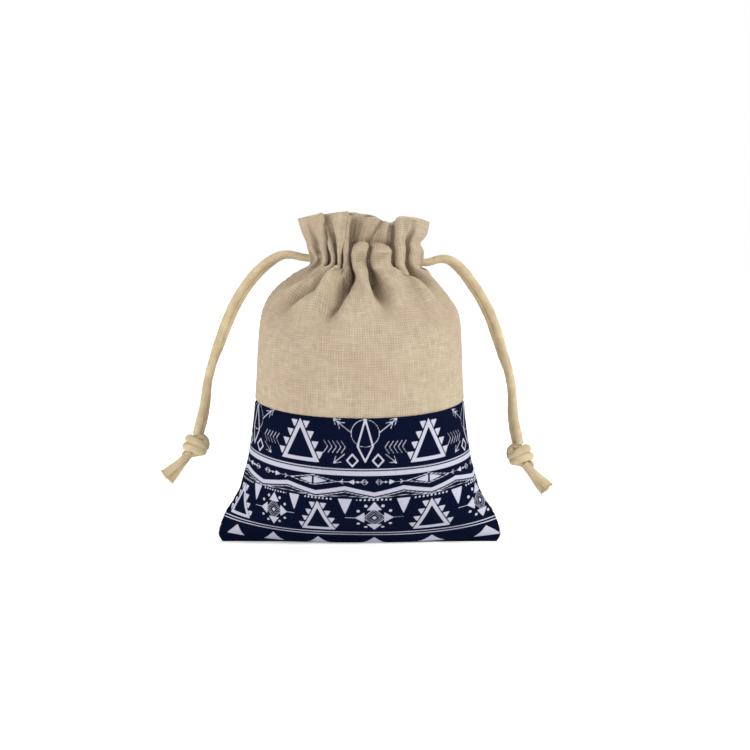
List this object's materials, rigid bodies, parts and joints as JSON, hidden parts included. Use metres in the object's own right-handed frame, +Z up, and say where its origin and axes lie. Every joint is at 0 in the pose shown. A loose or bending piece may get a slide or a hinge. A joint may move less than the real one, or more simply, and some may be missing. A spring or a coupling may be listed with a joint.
{
  "type": "drawstring gift sack",
  "caption": "Standing fabric gift sack with a gathered linen top, a printed cotton foot and knotted drawcords at both sides.",
  "frame": {"origin": "centre of the footprint, on the surface that the sack stands on", "axes": "+Z up through the mouth, +X to the sack's right as seen from its front, front at -Y"},
  "size_m": [0.1366, 0.0566, 0.1164],
  "materials": {
    "linen": "natural plain-weave linen, matte",
    "printed_cotton": "navy cotton with a pale geometric print",
    "thread": "spun sewing thread",
    "cord": "braided natural cotton cord"
  },
  "bodies": {
    "sack": {"front_linen_panel": "linen", "back_linen_panel": "linen", "front_print_panel": "printed_cotton", "back_print_panel": "printed_cotton", "front_waist_stitching": "thread", "back_waist_stitching": "thread", "left_side_stitching": "thread", "right_side_stitching": "thread", "bottom_stitching": "thread", "front_casing_stitching": "thread", "back_casing_stitching": "thread"},
    "left_cord": {"left_cord_loop": "cord"},
    "left_pull_end": {"left_front_strand": "cord", "left_back_strand": "cord", "left_knot": "cord", "left_front_tail": "cord", "left_back_tail": "cord"},
    "right_cord": {"right_cord_loop": "cord"},
    "right_pull_end": {"right_front_strand": "cord", "right_back_strand": "cord", "right_knot": "cord", "right_front_tail": "cord", "right_back_tail": "cord"}
  },
  "joints": [
    {"name": "left_cord_pull", "type": "slide", "parent": "sack", "child": "left_cord", "axis": [-1, 0, 0], "range_m": [0, 0.01], "deforming": ["left_cord_loop"]},
    {"name": "left_cord_swing", "type": "hinge", "parent": "left_cord", "child": "left_pull_end", "pos_m": [-0.022, 0, 0.1], "axis": [1, 0, 0], "range_deg": [-70, 70]},
    {"name": "right_cord_pull", "type": "slide", "parent": "sack", "child": "right_cord", "axis": [1, 0, 0], "range_m": [0, 0.01], "deforming": ["right_cord_loop"]},
    {"name": "right_cord_swing", "type": "hinge", "parent": "right_cord", "child": "right_pull_end", "pos_m": [0.026, 0, 0.0971], "axis": [1, 0, 0], "range_deg": [-70, 70]}
  ]
}
